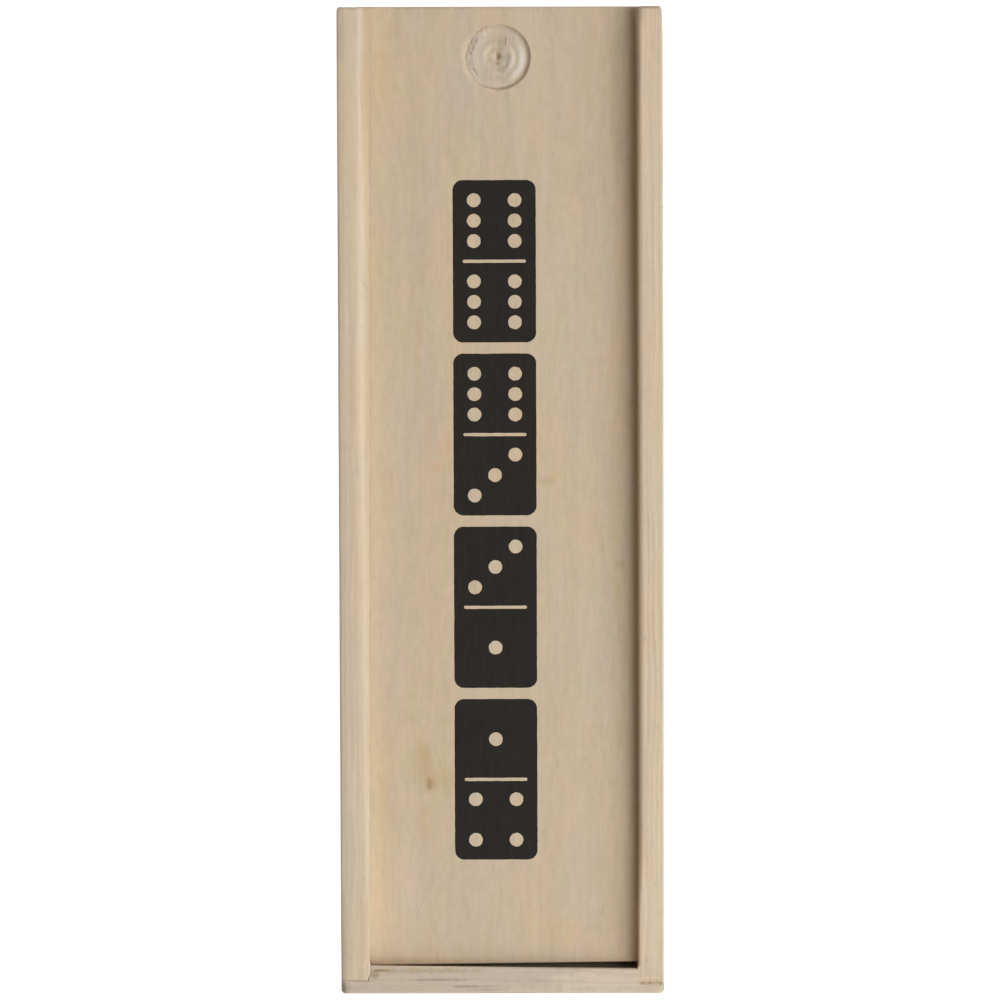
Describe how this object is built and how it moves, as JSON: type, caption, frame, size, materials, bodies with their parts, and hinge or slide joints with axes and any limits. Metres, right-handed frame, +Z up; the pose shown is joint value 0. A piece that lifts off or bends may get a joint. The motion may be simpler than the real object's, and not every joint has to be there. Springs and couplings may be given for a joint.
{
  "type": "domino box",
  "caption": "Long shallow wooden box for domino tiles, with a plywood lid that slides out along grooves in the side walls and has a round thumb recess.",
  "frame": {"origin": "centre of the flat underside", "axes": "+X across the box, +Y along the slide towards the end where the lid comes out, +Z up from the surface that the box stands on"},
  "size_m": [0.0492, 0.15, 0.03],
  "materials": {
    "board_wood": "bare sanded hardwood, unvarnished",
    "lid_plywood": "bare sanded plywood with a matt ink print",
    "base_plywood": "bare sanded plywood",
    "pin_steel": "plain wire"
  },
  "bodies": {
    "case": {"left_wall": "board_wood", "right_wall": "board_wood", "closed_end_board": "board_wood", "open_end_board": "board_wood", "base_panel": "base_plywood", "base_pins": "pin_steel", "end_pins": "pin_steel"},
    "lid": {"sliding_lid": "lid_plywood"}
  },
  "joints": [
    {"name": "lid_slide", "type": "slide", "parent": "case", "child": "lid", "axis": [0, 1, 0], "range_m": [0, 0.15]}
  ]
}
